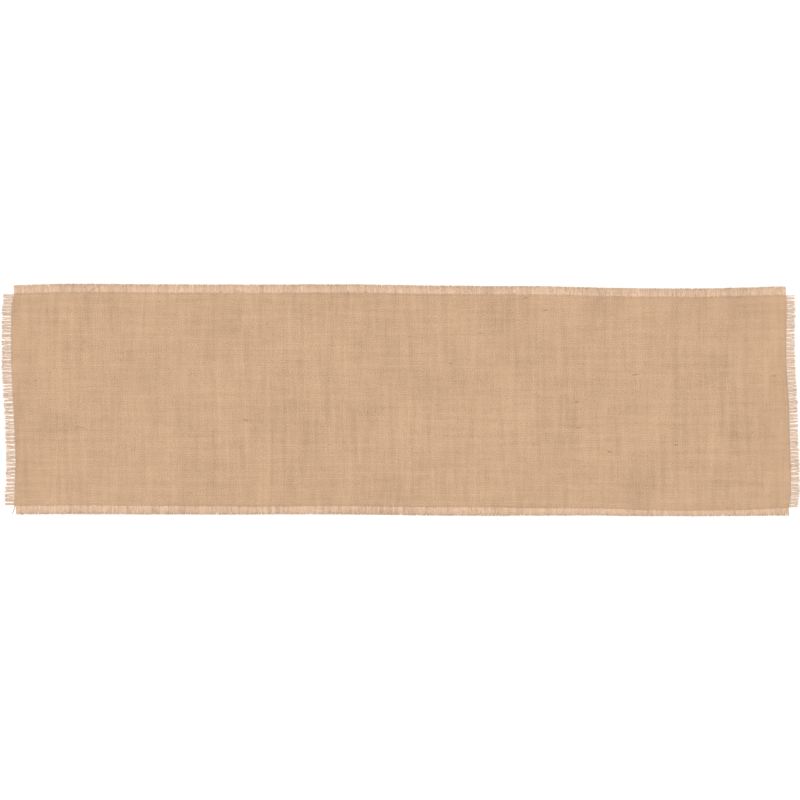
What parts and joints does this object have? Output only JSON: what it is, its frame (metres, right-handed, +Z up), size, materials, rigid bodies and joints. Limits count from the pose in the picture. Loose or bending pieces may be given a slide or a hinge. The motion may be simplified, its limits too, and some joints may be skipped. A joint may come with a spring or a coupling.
{
  "type": "table runner",
  "caption": "Long rectangular runner of plain-woven jute, lying flat, with raw edges drawn out into a short yarn fringe on all sides and a stay-stitched row inside each edge.",
  "frame": {"origin": "middle of the rectangle that the runner covers, on the surface that it lies on", "axes": "+X along the warp, the length of the runner; +Y along the weft, towards the back side; +Z up, out of the face"},
  "size_m": [1.227, 0.3578, 0.0019],
  "materials": {
    "jute_cloth": "plain-woven natural jute, matt, with slubs and uneven yarns",
    "jute_yarn": "loose single jute yarns, matt, hairy",
    "sewing_thread": "spun polyester sewing thread, matt"
  },
  "bodies": {
    "root": {"woven_panel": "jute_cloth", "left_end_fringe": "jute_yarn", "right_end_fringe": "jute_yarn", "front_side_fringe": "jute_yarn", "back_side_fringe": "jute_yarn", "left_seam_needle_thread": "sewing_thread", "right_seam_needle_thread": "sewing_thread", "front_seam_needle_thread": "sewing_thread", "back_seam_needle_thread": "sewing_thread", "left_seam_bobbin_thread": "sewing_thread", "right_seam_bobbin_thread": "sewing_thread", "front_seam_bobbin_thread": "sewing_thread", "back_seam_bobbin_thread": "sewing_thread"}
  },
  "joints": []
}
